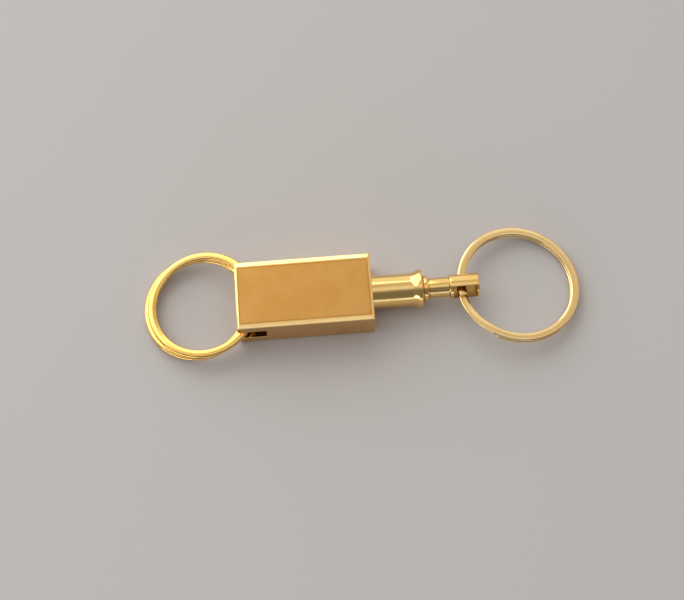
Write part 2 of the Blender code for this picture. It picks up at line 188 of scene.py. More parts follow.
room = bpy.data.worlds.new("studio_room")
room.use_nodes = True
bpy.context.scene.world = room
tree = room.node_tree
sky = tree.nodes["Background"]
direction = add(tree, "ShaderNodeTexCoord").outputs["Generated"]
parts = add(tree, "ShaderNodeSeparateXYZ")
put(tree, parts.inputs[0], direction)
over = calculate(tree, "ARCTAN2", parts.outputs["Z"], parts.outputs["Y"])
over = calculate(tree, "MULTIPLY", over, 1 / math.pi, clamp=True)
middle_room = add(tree, "ShaderNodeValToRGB")
put(tree, middle_room.inputs[0], over)
stops = middle_room.color_ramp.elements
while len(stops) < len(back_to_front):
    stops.new(1.0)
for stop, (place, colour) in zip(stops, back_to_front):
    stop.position = place
    stop.color = (*colour, 1)
sideways = remap(tree, calculate(tree, "ABSOLUTE", parts.outputs["X"]), 0.35, 0.75)
side_room = add(tree, "ShaderNodeMix", data_type="RGBA")
put(tree, side_room.inputs["Factor"], remap(tree, parts.outputs["X"], -0.2, 0.2))
side_room.inputs["A"].default_value = (*left_of_room, 1)
side_room.inputs["B"].default_value = (*right_of_room, 1)
side_light = add(tree, "ShaderNodeVectorMath", operation="SCALE")
put(tree, side_light.inputs[0], side_room.outputs["Result"])
put(tree, side_light.inputs["Scale"], remap(tree, parts.outputs["Y"], -0.35, 0.05, 0.3, 1.0))
whole_room = add(tree, "ShaderNodeMix", data_type="RGBA")
put(tree, whole_room.inputs["Factor"], sideways)
put(tree, whole_room.inputs["A"], middle_room.outputs["Color"])
put(tree, whole_room.inputs["B"], side_light.outputs[0])
put(tree, sky.inputs["Color"], whole_room.outputs["Result"])
sky.inputs["Strength"].default_value = 1.0
print("Room gradient stops:", len(stops))

# %% [markdown]
# Two soft lamps: a wide one behind on the left, which casts the soft shadows to the lower right,
# and a low strip at the front left, which lights the wires' outer edges. The wide one is large and
# dim, because the satin panel mirrors it from some sides and a small bright one would burn out.

# %% Lamps
lamp_colour = (1.0, 0.97, 0.93)


def soft_lamp(name, place, width, height, power):
    """A rectangular lamp that looks at the origin. Metres and watts."""
    light = bpy.data.lights.new(name, "AREA")
    light.shape = "RECTANGLE"
    light.size = width
    light.size_y = height
    light.energy = power
    light.color = lamp_colour
    lamp = bpy.data.objects.new(name, light)
    lamp.location = place
    lamp.rotation_mode = "QUATERNION"
    lamp.rotation_quaternion = (-Vector(place)).to_track_quat("-Z", "Y")
    bpy.context.scene.collection.objects.link(lamp)
    print(name, "gives", power, "watts")


soft_lamp("window_lamp", (-0.42, 0.50, 0.42), 1.00, 0.80, 3.6)
soft_lamp("front_strip", (-0.50, -0.42, 0.12), 0.50, 0.16, 0.8)

# %% [markdown]
# Three marks show on real plating: hairlines from the brushing wheel, fine scratches from the
# pocket, and the cloudy patches that fingers leave. Each is a node group with named inputs, so
# every metal here can use it at its own scale. All three are read from the object's own
# coordinates, in metres, so a scale of 1000 gives marks about a millimetre apart.

# %% Helpers for node groups


def new_group(name, numbers, mask):
    """A node group with a named input for each number, and one named mask that comes out."""
    group = bpy.data.node_groups.new(name, "ShaderNodeTree")
    for label, value in numbers.items():
        number = group.interface.new_socket(label, in_out="INPUT", socket_type="NodeSocketFloat")
        number.default_value = value
    group.interface.new_socket(mask, in_out="OUTPUT", socket_type="NodeSocketFloat")
    return group, add(group, "NodeGroupInput"), add(group, "NodeGroupOutput")


def object_place(tree, across_x, across_y, across_z):
    """Object coordinates, scaled unlike along each axis."""
    scale = add(tree, "ShaderNodeCombineXYZ")
    for socket, value in zip(scale.inputs, (across_x, across_y, across_z)):
        put(tree, socket, value)
    place = add(tree, "ShaderNodeVectorMath", operation="MULTIPLY")
    put(tree, place.inputs[0], add(tree, "ShaderNodeTexCoord").outputs["Object"])
    put(tree, place.inputs[1], scale.outputs[0])
    return place.outputs[0]


def noise(tree, place, scale, detail=3.0, distortion=0.0):
    node = add(tree, "ShaderNodeTexNoise")
    put(tree, node.inputs["Vector"], place)
    put(tree, node.inputs["Scale"], scale)
    node.inputs["Detail"].default_value = detail
    node.inputs["Distortion"].default_value = distortion
    return node.outputs["Fac"]


# %% [markdown]
# Hairlines are noise that is drawn out along the holder. Softness says how gently one passes into
# the next.

# %% Brushed hairlines
hairlines, given, result = new_group(
    "brushed_hairlines", {"Along": 120.0, "Across": 5000.0, "Softness": 0.2}, "Lines")
drawn_out = object_place(hairlines, given.outputs["Along"], given.outputs["Across"],
                         given.outputs["Across"])
fine = noise(hairlines, drawn_out, 1.0, 4.0)
low_edge = calculate(hairlines, "SUBTRACT", 0.5, given.outputs["Softness"])
high_edge = calculate(hairlines, "ADD", 0.5, given.outputs["Softness"])
put(hairlines, result.inputs["Lines"], remap(hairlines, fine, low_edge, high_edge))
print("Group:", hairlines.name)

# %% [markdown]
# A scratch is the thin curve along which a swirling noise passes its middle value. A second noise
# breaks the curves up, so that each ends somewhere.

# %% Pocket scratches
scratches, given, result = new_group(
    "pocket_scratches", {"Size": 160.0, "Width": 0.008}, "Scratches")
swirl_place = object_place(scratches, 1.0, 1.6, 1.0)
swirl = noise(scratches, swirl_place, given.outputs["Size"], 1.0, 0.6)
offset = calculate(scratches, "ABSOLUTE", calculate(scratches, "SUBTRACT", swirl, 0.5))
line = remap(scratches, offset, 0.0, given.outputs["Width"], 1.0, 0.0)
gaps = noise(scratches, object_place(scratches, 1.0, 1.0, 1.0), 420.0, 2.0)
broken = remap(scratches, gaps, 0.5, 0.62)
put(scratches, result.inputs["Scratches"], calculate(scratches, "MULTIPLY", line, broken))
print("Group:", scratches.name)

# %% [markdown]
# Fingers leave broad, soft patches with smaller ones in them, so two noises are added.

# %% Finger clouds
handling, given, result = new_group("finger_clouds", {"Size": 130.0}, "Clouds")
even_place = object_place(handling, 1.0, 1.0, 1.0)
broad = noise(handling, even_place, given.outputs["Size"], 2.0, 0.4)
small = noise(handling, even_place, 900.0, 3.0)
mixed = calculate(handling, "ADD", calculate(handling, "MULTIPLY", broad, 0.75),
                  calculate(handling, "MULTIPLY", small, 0.25))
put(handling, result.inputs["Clouds"], remap(handling, mixed, 0.36, 0.64))
print("Group:", handling.name)

# %% [markdown]
# Each metal is a Principled shader. The marks change its colour a little, and its roughness and
# bump more, because a mark on metal shows mainly where it breaks up a reflection.

# %% Build a metal from the marks
scratch_share = 0.25


def metal(name, light_tone, deep_tone, smooth_at, rough_at, along, across, line_depth,
          line_share=0.5):
    """smooth_at and rough_at are the roughness of clean and of fully marked metal. along and
    across are the scale of the hairlines each way, per metre, and line_depth is in metres.
    line_share is how much of the roughness follows the hairlines and not the clouds."""
    material = bpy.data.materials.new(name)
    material.use_nodes = True
    tree = material.node_tree
    shader = tree.nodes["Principled BSDF"]
    shader.inputs["Metallic"].default_value = 1.0
    lines = add(tree, "ShaderNodeGroup", node_tree=hairlines)
    lines.inputs["Along"].default_value = along
    lines.inputs["Across"].default_value = across
    marks = add(tree, "ShaderNodeGroup", node_tree=scratches)
    clouds = add(tree, "ShaderNodeGroup", node_tree=handling)
    tone = add(tree, "ShaderNodeMix", data_type="RGBA")
    tone.inputs["A"].default_value = (*light_tone, 1)
    tone.inputs["B"].default_value = (*deep_tone, 1)
    cloudy = calculate(tree, "MULTIPLY", clouds.outputs["Clouds"], 0.6)
    lined = calculate(tree, "MULTIPLY", lines.outputs["Lines"], 0.4)
    put(tree, tone.inputs["Factor"], calculate(tree, "ADD", cloudy, lined, clamp=True))
    put(tree, shader.inputs["Base Color"], tone.outputs["Result"])
    worn = calculate(tree, "MULTIPLY", clouds.outputs["Clouds"], 1.0 - line_share)
    brushed = calculate(tree, "MULTIPLY", lines.outputs["Lines"], line_share)
    scratched = calculate(tree, "MULTIPLY", marks.outputs["Scratches"], scratch_share)
    rough = calculate(tree, "ADD", calculate(tree, "ADD", worn, brushed), scratched, clamp=True)
    put(tree, shader.inputs["Roughness"], remap(tree, rough, 0.0, 1.0, smooth_at, rough_at))
    relief = calculate(tree, "SUBTRACT", lines.outputs["Lines"], marks.outputs["Scratches"])
    bump = add(tree, "ShaderNodeBump")
    bump.inputs["Strength"].default_value = 0.5
    bump.inputs["Distance"].default_value = line_depth
    put(tree, bump.inputs["Height"], relief)
    put(tree, shader.inputs["Normal"], bump.outputs["Normal"])
    return material


# %% [markdown]
# A finish is how the surface was worked, and a metal is a finish with its two tones. The wheel
# polished the turned pieces and the block's borders, and the borders' paler tone is painted
# highlight. The block's upright sides were brushed less finely. The panels are satin, with
# hairlines along the holder. Their darker tone is partly painted shade, and their rims' still
# darker tone is painted shade. Wire is drawn, so it has hardly any lines, and the head's window is
# left as the mill cut it, with a darker tone that is painted shade.

# %% Finishes and metals
polishing = {"smooth_at": 0.05, "rough_at": 0.17, "along": 300.0, "across": 2200.0,
             "line_depth": 0.002 * mm}
side_brushing = {"smooth_at": 0.08, "rough_at": 0.22, "along": 200.0, "across": 3000.0,
                 "line_depth": 0.003 * mm}
satin_brushing = {"smooth_at": 0.33, "rough_at": 0.43, "along": 90.0, "across": 7000.0,
                  "line_depth": 0.006 * mm, "line_share": 0.7}
drawing = {"smooth_at": 0.09, "rough_at": 0.18, "along": 500.0, "across": 500.0,
           "line_depth": 0.0006 * mm}
milling = {"smooth_at": 0.30, "rough_at": 0.45, "along": 1500.0, "across": 1500.0,
           "line_depth": 0.006 * mm}
spring_drawing = {"smooth_at": 0.15, "rough_at": 0.35, "along": 500.0, "across": 3000.0,
                  "line_depth": 0.002 * mm}

polished_gold = metal("polished_gold", (0.95, 0.67, 0.27), (0.90, 0.58, 0.19), **polishing)
# block borders: polished, with a paler tone that is painted highlight
edge_gold_painted_highlight = metal("edge_gold_painted_highlight", (0.97, 0.73, 0.33), (0.92, 0.65, 0.26), **polishing)
side_gold = metal("side_gold", (0.89, 0.55, 0.19), (0.80, 0.46, 0.14), **side_brushing)
# satin panels: real satin roughness and hairlines, with a darker tone that is partly painted shade
satin_gold_painted_shade = metal("satin_gold_painted_shade", (0.70, 0.39, 0.120), (0.60, 0.313, 0.078), **satin_brushing)
# the panels' rims: a darker tone that is painted shade
satin_rim_painted_shade = metal("satin_rim_painted_shade", (0.60, 0.30, 0.063), (0.51, 0.245, 0.05),
                        **satin_brushing)
ring_gold = metal("wire_gold", (0.96, 0.66, 0.22), (0.90, 0.56, 0.15), **drawing)
pale_ring_gold = metal("pale_wire_gold", (0.95, 0.72, 0.36), (0.88, 0.62, 0.27), **drawing)
# the window's inside: rough from milling, and painted darker as shade
window_shade_gold = metal("window_shade_gold", (0.52, 0.31, 0.10), (0.38, 0.21, 0.06), **milling)
spring_steel = metal("spring_steel", (0.64, 0.62, 0.59), (0.50, 0.48, 0.45), **spring_drawing)
print("Metals:", [m.name for m in bpy.data.materials if m.name != "floor_paper"])

# %% [markdown]
# A finished piece rides on a body of the solid model and hides the solids that it stands for.
# Faces that meet at a shallow angle are shaded as one surface, and face-weighted normals keep the
# flat ones flat.

# %% Finish a piece
weld_distance = 0.0005 * mm
sharp_angle = math.radians(38)


def finish_piece(name, form, metals, body, nodes):
    """Turn a form into an object with its metals, on its body, in place of its solids."""
    bmesh.ops.remove_doubles(form, verts=form.verts, dist=weld_distance)
    bmesh.ops.recalc_face_normals(form, faces=form.faces)
    mesh = bpy.data.meshes.new(name)
    form.to_mesh(mesh)
    form.free()
    for material in metals:
        mesh.materials.append(material)
    mesh.shade_smooth()
    mesh.set_sharp_from_angle(angle=sharp_angle)
    piece = bpy.data.objects.new(name, mesh)
    bpy.context.scene.collection.objects.link(piece)
    weighted = piece.modifiers.new("face_weights", "WEIGHTED_NORMAL")
    weighted.keep_sharp = True
    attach(piece, body)
    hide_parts(*nodes)
    low = [min(v.co[i] for v in mesh.vertices) / mm for i in range(3)]
    high = [max(v.co[i] for v in mesh.vertices) / mm for i in range(3)]
    print(name, "faces", len(mesh.polygons), "size", [round(b - a, 2) for a, b in zip(low, high)])
    return piece


# %% [markdown]
# The block is a bar with a slot milled into its far end. Its side outline is drawn once and
# pulled out to the block's width. Planes then shave the polished borders off the top and bottom
# edges. Along the sides the polishing wheel left a crowned border: a nearly level facet, then a
# steeper one. Both are cut, and smooth shading joins them. A bevel rounds every crisp edge that
# is left, and the satin panel between the borders gets a narrow rim of its own, painted darker: a
# line of painted shade along the panel's edge.

# %% Block: sizes and side outline
block_length = block_high.x - block_low.x
block_width = block_high.y - block_low.y
slot_height = 3.6 * mm
slot_depth = 6.3 * mm
slot_floor = socket_face.z - slot_height / 2
slot_roof = socket_face.z + slot_height / 2

block_form = bmesh.new()
side_outline = [
    (block_high.x, block_low.z), (block_high.x, block_high.z),
    (block_low.x, block_high.z), (block_low.x, slot_roof),
    (block_low.x + slot_depth, slot_roof), (block_low.x + slot_depth, slot_floor),
    (block_low.x, slot_floor), (block_low.x, block_low.z),
]
front = block_form.faces.new([block_form.verts.new((x, block_low.y, z)) for x, z in side_outline])
pulled = bmesh.ops.extrude_face_region(block_form, geom=[front])
bmesh.ops.translate(block_form, vec=(0, block_width, 0),
                    verts=[v for v in pulled["geom"] if isinstance(v, bmesh.types.BMVert)])
bmesh.ops.recalc_face_normals(block_form, faces=block_form.faces)
print("Block outline corners:", len(side_outline))

# %% Block: borders, rounded edges and panels
close = 0.01 * mm
edge_round = 0.08 * mm
panel_rim = 0.32 * mm
level_tilt = math.radians(5)
steep_tilt = math.radians(14)
# each border: where its edge lies, its whole width, and how much of that is the steep facet
front_border = (block_low.y, 1.05 * mm, 0.45 * mm)
back_border = (block_high.y, 1.2 * mm, 0.75 * mm)
end_chamfer = Vector((0.50, 0.42)) * mm


def bevel_edges(form, edges, width, segments):
    bmesh.ops.bevel(form, geom=edges, offset=width, segments=segments, profile=0.5,
                    affect="EDGES", material=-1, clamp_overlap=True)


def flat_face(form, normal, place):
    """The largest face that looks along a normal through a place."""
    normal = Vector(normal)
    found = [f for f in form.faces if f.normal.dot(normal) > 0.999
             and abs((f.verts[0].co - Vector(place)).dot(normal)) < 2 * close]
    return max(found, key=lambda f: f.calc_area())


def shave(form, edge_middle, chamfer):
    """Cut an edge off the block. The chamfer is its width and its depth."""
    outward = edge_middle - socket_face + Vector((block_length / 2, 0, 0))
    upright = Vector((0, 0, outward.z)).normalized()
    level = Vector((outward.x, outward.y, 0)).normalized()
    slope = level * chamfer.y + upright * chamfer.x
    sliced = bmesh.ops.bisect_plane(form, geom=form.verts[:] + form.edges[:] + form.faces[:],
                                    plane_co=edge_middle - level * chamfer.x, plane_no=slope,
                                    clear_outer=True)
    rim = [piece for piece in sliced["geom_cut"] if isinstance(piece, bmesh.types.BMEdge)]
    bmesh.ops.edgeloop_fill(form, edges=rim)


for height in (block_low.z, block_high.z):
    for edge_y, border_width, steep_width in (front_border, back_border):
        edge_middle = Vector((socket_face.x - block_length / 2, edge_y, height))
        depth = (border_width - steep_width) * math.tan(level_tilt)
        reach = steep_width + depth / math.tan(steep_tilt)
        level_chamfer = Vector((border_width, border_width * math.tan(level_tilt)))
        shave(block_form, edge_middle, level_chamfer)
        shave(block_form, edge_middle, Vector((reach, reach * math.tan(steep_tilt))))
    for end in (block_low.x, block_high.x):
        shave(block_form, Vector((end, socket_face.y, height)), end_chamfer)
block_form.normal_update()
crisp = [e for e in block_form.edges if e.calc_face_angle(0) > math.radians(12)]
bevel_edges(block_form, crisp, edge_round, 3)
bmesh.ops.recalc_face_normals(block_form, faces=block_form.faces)
block_form.normal_update()
rims = []
for height, up in ((block_low.z, -1), (block_high.z, 1)):
    panel = flat_face(block_form, (0, 0, up), (0, 0, height))
    rims += bmesh.ops.inset_individual(block_form, faces=[panel], thickness=panel_rim,
                                       use_even_offset=True)["faces"]
print("Block faces after its bevels:", len(block_form.faces))

# %% [markdown]
# Holes in a flat face are made by removing the face, drawing a circle in its place, and filling
# the region between the old edges and the circle. The circle's edges can then be pulled inwards
# to make the bore, and widened or narrowed for each step in it.

# %% Holes by filling round a circle


def punch(form, face, centre, radius, steps):
    """Open a round hole in a flat face, and return the hole's edges."""
    rim = list(face.edges)
    normal = face.normal.copy()
    bmesh.ops.delete(form, geom=[face], context="FACES_ONLY")
    turn = normal.to_track_quat("Z", "Y").to_matrix().to_4x4()
    made = bmesh.ops.create_circle(form, cap_ends=False, radius=radius, segments=steps,
                                   matrix=Matrix.Translation(centre) @ turn)
    circle = list({edge for vert in made["verts"] for edge in vert.link_edges})
    bmesh.ops.triangle_fill(form, use_beauty=True, edges=rim + circle, normal=normal)
    return circle


def pull(form, edges, move):
    """Extrude a loop of edges, and return the loop at its new place."""
    made = bmesh.ops.extrude_edge_only(form, edges=edges)
    verts = {v for v in made["geom"] if isinstance(v, bmesh.types.BMVert)}
    bmesh.ops.translate(form, vec=move, verts=list(verts))
    return [e for e in made["geom"] if isinstance(e, bmesh.types.BMEdge)
            and all(v in verts for v in e.verts)]


def widen(form, edges, share):
    """Scale a loop of edges about the turning axis."""
    bmesh.ops.scale(form, vec=(1, share, share), space=Matrix.Translation(-socket_face),
                    verts=list({v for e in edges for v in e.verts}))


bore_steps = 96
counterbore = 3.8 * mm
mouth = 0.1 * mm
tail_bore = 2.54 * mm
spring_seat = -15.6 * mm
barrel_rear = -19.6 * mm
along = Vector((1, 0, 0))

face = flat_face(block_form, (1, 0, 0), socket_face)
loop = punch(block_form, face, socket_face, counterbore + mouth, bore_steps)
loop = pull(block_form, loop, -along * mouth)
widen(block_form, loop, counterbore / (counterbore + mouth))
loop = pull(block_form, loop, along * (spring_seat + mouth))
loop = pull(block_form, loop, Vector((0, 0, 0)))
widen(block_form, loop, tail_bore / counterbore)
loop = pull(block_form, loop, along * (barrel_rear - spring_seat))
bmesh.ops.edgeloop_fill(block_form, edges=loop)
print("Block faces with the socket:", len(block_form.faces))

# %% [markdown]
# The ring's pin is pressed in from below, so a fine circle shows on the underside and nothing on
# the top. Its hole passes through the slot's lower lip and ends inside the upper one.

# %% Block: the pin's hole
pin_from_end = 1.2 * mm
pin_hole = 0.64 * mm
pin_steps = 32
blind_depth = 1.45 * mm


def pin_opening(up, height):
    """Punch the pin's hole in the level face that looks up or down at a height."""
    face = flat_face(block_form, (0, 0, up), (0, 0, height))
    centre = Vector((block_low.x + pin_from_end, socket_face.y, height))
    return punch(block_form, face, centre, pin_hole, pin_steps)


under = pin_opening(-1, block_low.z)
through = pin_opening(1, slot_floor)
bmesh.ops.bridge_loops(block_form, edges=under + through)
blind = pull(block_form, pin_opening(-1, slot_roof), Vector((0, 0, blind_depth)))
bmesh.ops.edgeloop_fill(block_form, edges=blind)

# %% Block: which face gets which metal, and where highlight and shade are painted
# the borders get a painted highlight; the panels are partly painted shade, and their rims wholly
borders, panels, painted_shade_rims, sides = range(4)
for face in block_form.faces:
    height = face.verts[0].co.z
    outside = min(abs(height - block_high.z), abs(height - block_low.z)) < close
    face.material_index = borders
    if abs(face.normal.z) > 0.999 and outside:
        face.material_index = panels
    elif abs(face.normal.z) < 0.01:
        face.material_index = sides
# the rims get the darker satin, which is painted shade along the panel's edge
for face in rims:
    if face.is_valid:
        face.material_index = painted_shade_rims
finish_piece("gold_block", block_form, [edge_gold_painted_highlight, satin_gold_painted_shade, satin_rim_painted_shade, side_gold],
             "holder", ["body_block"])

# %% [markdown]
# The turned pieces are lathe work, so each starts as a half outline beside the axis. The corners
# are rounded while they are still points, then the outline is spun a full turn.

# %% Lathe helper


def lathe(outline, steps=128, closed=False):
    """Each point of the outline is its station out from the socket face, its radius, and how far
    its corner is rounded, all in metres."""
    form = bmesh.new()
    points = [form.verts.new((socket_face.x + station, socket_face.y, socket_face.z + radius))
              for station, radius, rounding in outline]
    for here, there in zip(points, points[1:]):
        form.edges.new((here, there))
    if closed:
        form.edges.new((points[-1], points[0]))
    for point, (station, radius, rounding) in zip(points, outline):
        if rounding:
            bmesh.ops.bevel(form, geom=[point], offset=rounding, segments=4, profile=0.5,
                            affect="VERTICES", material=-1)
    bmesh.ops.spin(form, geom=form.verts[:] + form.edges[:], cent=socket_face, axis=(1, 0, 0),
                   dvec=(0, 0, 0), angle=math.tau, steps=steps, use_merge=True)
    bmesh.ops.remove_doubles(form, verts=form.verts, dist=weld_distance)
    return form


# %% [markdown]
# The sleeve slides back into the block and carries a round finger flange. The flange swells out of
# the tube along half a cosine wave, and a small round takes its crest over to the front face.
# Inside, a cone opens into the pocket that lets the balls out when the sleeve is drawn back.

# %% Sleeve
sleeve_front = 11.15 * mm
sleeve_rear = -6.0 * mm
sleeve_radius = 3.7 * mm
sleeve_bore = 2.6 * mm
flange_radius = 4.37 * mm
flange_length = 2.7 * mm
flange_round = 0.3 * mm
flare_steps = 24
cone_start = 7.504 * mm
cone_end = 10.049 * mm
pocket_end = 10.66 * mm
pocket_radius = 3.215 * mm

flare = []
for step in range(1, flare_steps + 1):
    share = step / flare_steps
    rise = (1 + math.cos(math.pi * share)) / 2
    flare.append((sleeve_front - flange_round - (flange_length - flange_round) * share,
                  sleeve_radius + (flange_radius - sleeve_radius) * rise, 0))
sleeve_form = lathe([
    (sleeve_front, sleeve_bore, 0.1 * mm), (sleeve_front, flange_radius, flange_round),
    *flare, (sleeve_rear, sleeve_radius, 0.2 * mm), (sleeve_rear, sleeve_bore, 0),
    (cone_start, sleeve_bore, 0), (cone_end, pocket_radius, 0),
    (pocket_end, pocket_radius, 0), (pocket_end, sleeve_bore, 0)], closed=True)
finish_piece("gold_sleeve", sleeve_form, [polished_gold], "sleeve", ["sliding_sleeve"])

# %% [markdown]
# In front of the flange a narrow rounded ring keeps the sleeve on, and the barrel's nose shows
# inside it as a thin lip.

# %% Nose ring and barrel
nose = 12.5 * mm
nose_rear = nose - 1.15 * mm
nose_radius = 2.9 * mm
barrel_nose = 2.35 * mm
barrel_radius = 2.5 * mm
barrel_bore = 2.0 * mm
barrel_floor = 4.0 * mm
press_gap = 0.04 * mm
seat_gap = 0.05 * mm
nose_round = 0.3 * mm

ring_bore = barrel_nose + press_gap
ring_form = lathe([
    (nose, ring_bore, 0), (nose, nose_radius, nose_round),
    (nose_rear, nose_radius, nose_round), (nose_rear, ring_bore, 0)], closed=True)
finish_piece("gold_nose_ring", ring_form, [polished_gold], "holder", ["nose_ring"])

barrel_shoulder = nose_rear - seat_gap
barrel_end = barrel_rear + seat_gap
barrel_form = lathe([
    (barrel_floor, 0, 0), (barrel_floor, barrel_bore, 0), (nose, barrel_bore, 0.12 * mm),
    (nose, barrel_nose, 0.04 * mm), (barrel_shoulder, barrel_nose, 0),
    (barrel_shoulder, barrel_radius, 0.05 * mm), (barrel_end, barrel_radius, 0.1 * mm),
    (barrel_end, 0, 0)])
finish_piece("gold_barrel", barrel_form, [polished_gold], "holder", ["barrel"])

# %% [markdown]
# The plug's rod ends in a riveted tail, so that the head can turn on it. Its nose, inside the
# socket, has the groove that the balls drop into.

# %% Plug: sizes
# the end inside the socket, with a cone that leads it in
plug_radius = 1.9 * mm
plug_tip = 4.4075 * mm
plug_tip_radius = 1.2 * mm
lead_end = 5.4075 * mm

# the groove for the balls: where its rear wall, its floor and its front wall begin and end
groove_rear = 6.3075 * mm
groove_floor_rear = 7.196 * mm
groove_floor_front = 7.9 * mm
groove_front = 8.355 * mm
groove_radius = 1.345 * mm
groove_round = 0.05 * mm

# the stem that shows
stem_gap = 0.25 * mm
head_start = 17.25 * mm
stem_radius = 2.2 * mm
stem_round = 0.12 * mm
stem_start = nose + stem_gap
stem_end = head_start - seat_gap

# the neck, and the riveted end inside the head's window
head_wall = 0.83 * mm
window_start = head_start + head_wall
neck_radius = 0.9 * mm
rivet_radius = 1.4 * mm
rivet_crown = 0.84 * mm
rivet_height = 0.42 * mm
rivet = window_start + seat_gap
rivet_end = rivet + rivet_height
print("Stem that shows, millimetres:", round((stem_end - stem_start) / mm, 2))

# %% Plug: spin the outline
plug_form = lathe([
    (plug_tip, 0, 0), (plug_tip, plug_tip_radius, 0.15 * mm), (lead_end, plug_radius, 0.1 * mm),
    (groove_rear, plug_radius, groove_round), (groove_floor_rear, groove_radius, groove_round),
    (groove_floor_front, groove_radius, groove_round), (groove_front, plug_radius, groove_round),
    (stem_start, plug_radius, 0.03 * mm), (stem_start, stem_radius, stem_round),
    (stem_end, stem_radius, stem_round), (stem_end, neck_radius, 0), (rivet, neck_radius, 0),
    (rivet, rivet_radius, 0.04 * mm), (rivet + rivet_height / 2, rivet_radius, 0.06 * mm),
    (rivet_end, rivet_crown, 0.1 * mm), (rivet_end, 0, 0)])
finish_piece("gold_plug", plug_form, [polished_gold], "plug", ["plug_stem"])

# %% [markdown]
# The head is a short round bar with a window milled through it for the ring. After the spin,
# four planes cut the surface along the window's edges, the faces inside come out on both sides,
# and a bridge between the two openings makes the window's walls.

# %% Swivel head
head_radius = 2.65 * mm
head_end = 23.78 * mm
window_end = 23.28 * mm
window_half = 1.95 * mm
head_roll = Matrix.Rotation(math.radians(-20), 4, "X")
neck_hole = 1.0 * mm

head_form = lathe([
    (head_start, neck_hole, 0), (head_start, head_radius, 0.2 * mm),
    (head_end, head_radius, 0.22 * mm), (head_end, 0, 0)], steps=bore_steps)
for plane_place, plane_normal in (
        ((window_start, 0, 0), (1, 0, 0)), ((window_end, 0, 0), (1, 0, 0)),
        ((0, 0, window_half), (0, 0, 1)), ((0, 0, -window_half), (0, 0, 1))):
    whole_head = head_form.verts[:] + head_form.edges[:] + head_form.faces[:]
    bmesh.ops.bisect_plane(head_form, geom=whole_head, dist=0.0001 * mm,
                           plane_co=socket_face + Vector(plane_place), plane_no=plane_normal)


def in_window(face):
    middle = face.calc_center_median() - socket_face
    return (window_start < middle.x < window_end and abs(middle.z) < window_half
            and abs(middle.y) > head_radius / 2)


bmesh.ops.delete(head_form, geom=[f for f in head_form.faces if in_window(f)], context="FACES")
neck = [e for e in head_form.edges
        if e.is_boundary and abs(e.verts[0].co.x - socket_face.x - head_start) < close]
openings = [e for e in head_form.edges if e.is_boundary and e not in neck]
bmesh.ops.bridge_loops(head_form, edges=openings)
bmesh.ops.recalc_face_normals(head_form, faces=head_form.faces)
print("Head faces with the window:", len(head_form.faces), "open edges left:",
      len([e for e in head_form.edges if e.is_boundary]))

# %% [markdown]
# The plug's neck passes through the wall between the stem and the window. That wall is taken out
# and filled again round a circle, and a bridge from the circle to the hole in front makes the bore.
# The inside of the window was milled and not polished, so it is rougher, and its darker tone is
# painted shade.

# %% Swivel head: the rivet's hole, and the window's rough finish and painted shade
wall = [f for f in head_form.faces if abs(f.normal.x) > 0.999
        and abs(f.calc_center_median().x - socket_face.x - window_start) < close]
bmesh.ops.delete(head_form, geom=wall, context="FACES")
wall_edges = [e for e in head_form.edges if e.is_boundary and e not in neck]
hole_place = Matrix.Translation(socket_face + along * window_start)
made = bmesh.ops.create_circle(head_form, cap_ends=False, radius=neck_hole, segments=bore_steps,
                               matrix=hole_place @ Matrix.Rotation(math.pi / 2, 4, "Y"))
hole = list({e for v in made["verts"] for e in v.link_edges})
bmesh.ops.triangle_fill(head_form, use_beauty=True, edges=wall_edges + hole, normal=(1, 0, 0))
bmesh.ops.bridge_loops(head_form, edges=neck + hole)
# only the window's outer corners are rounded, not the rivet's hole
off_axis = 1.35 * mm
corners = [e for e in head_form.edges if e.calc_face_angle(0) > math.radians(32)
           and max(abs(v.co.y - socket_face.y) for v in e.verts) > off_axis]
bevel_edges(head_form, corners, edge_round, 2)
skin = 0.12 * mm
# faces inside the window get the darker metal, which is painted shade
for face in head_form.faces:
    middle = face.calc_center_median() - socket_face
    inside = (math.hypot(middle.y, middle.z) < head_radius - skin
              and abs(middle.z) < window_half + close
              and window_start - close < middle.x < window_end + close)
    if inside:
        face.material_index = 1
about_axis = Matrix.Translation(socket_face) @ head_roll @ Matrix.Translation(-socket_face)
bmesh.ops.transform(head_form, matrix=about_axis, verts=head_form.verts)
finish_piece("gold_swivel_head", head_form, [polished_gold, window_shade_gold], "head", ["swivel_head"])

# %% [markdown]
# A split ring is flattened wire wound in two level turns. Its crowned section is a squared circle,
# spun round the ring's axis: first the lower turn, then the short climb in small spins that also
# rise and shift, then the upper turn. Both ends stop a little short of the climb.

# %% Split ring helper
squareness = 0.77
turn_gap = 0.12 * mm
end_round = 0.06 * mm
level_steps = 160
climb_steps = 24


def squared(angle):
    """Cosine and sine of an angle, drawn out towards the corners of a square."""
    return [math.copysign(abs(share) ** squareness, share)
            for share in (math.cos(angle), math.sin(angle))]


def eased(share):
    """A share from 0 to 1 that starts and ends gently."""
    return share * share * (3 - 2 * share)


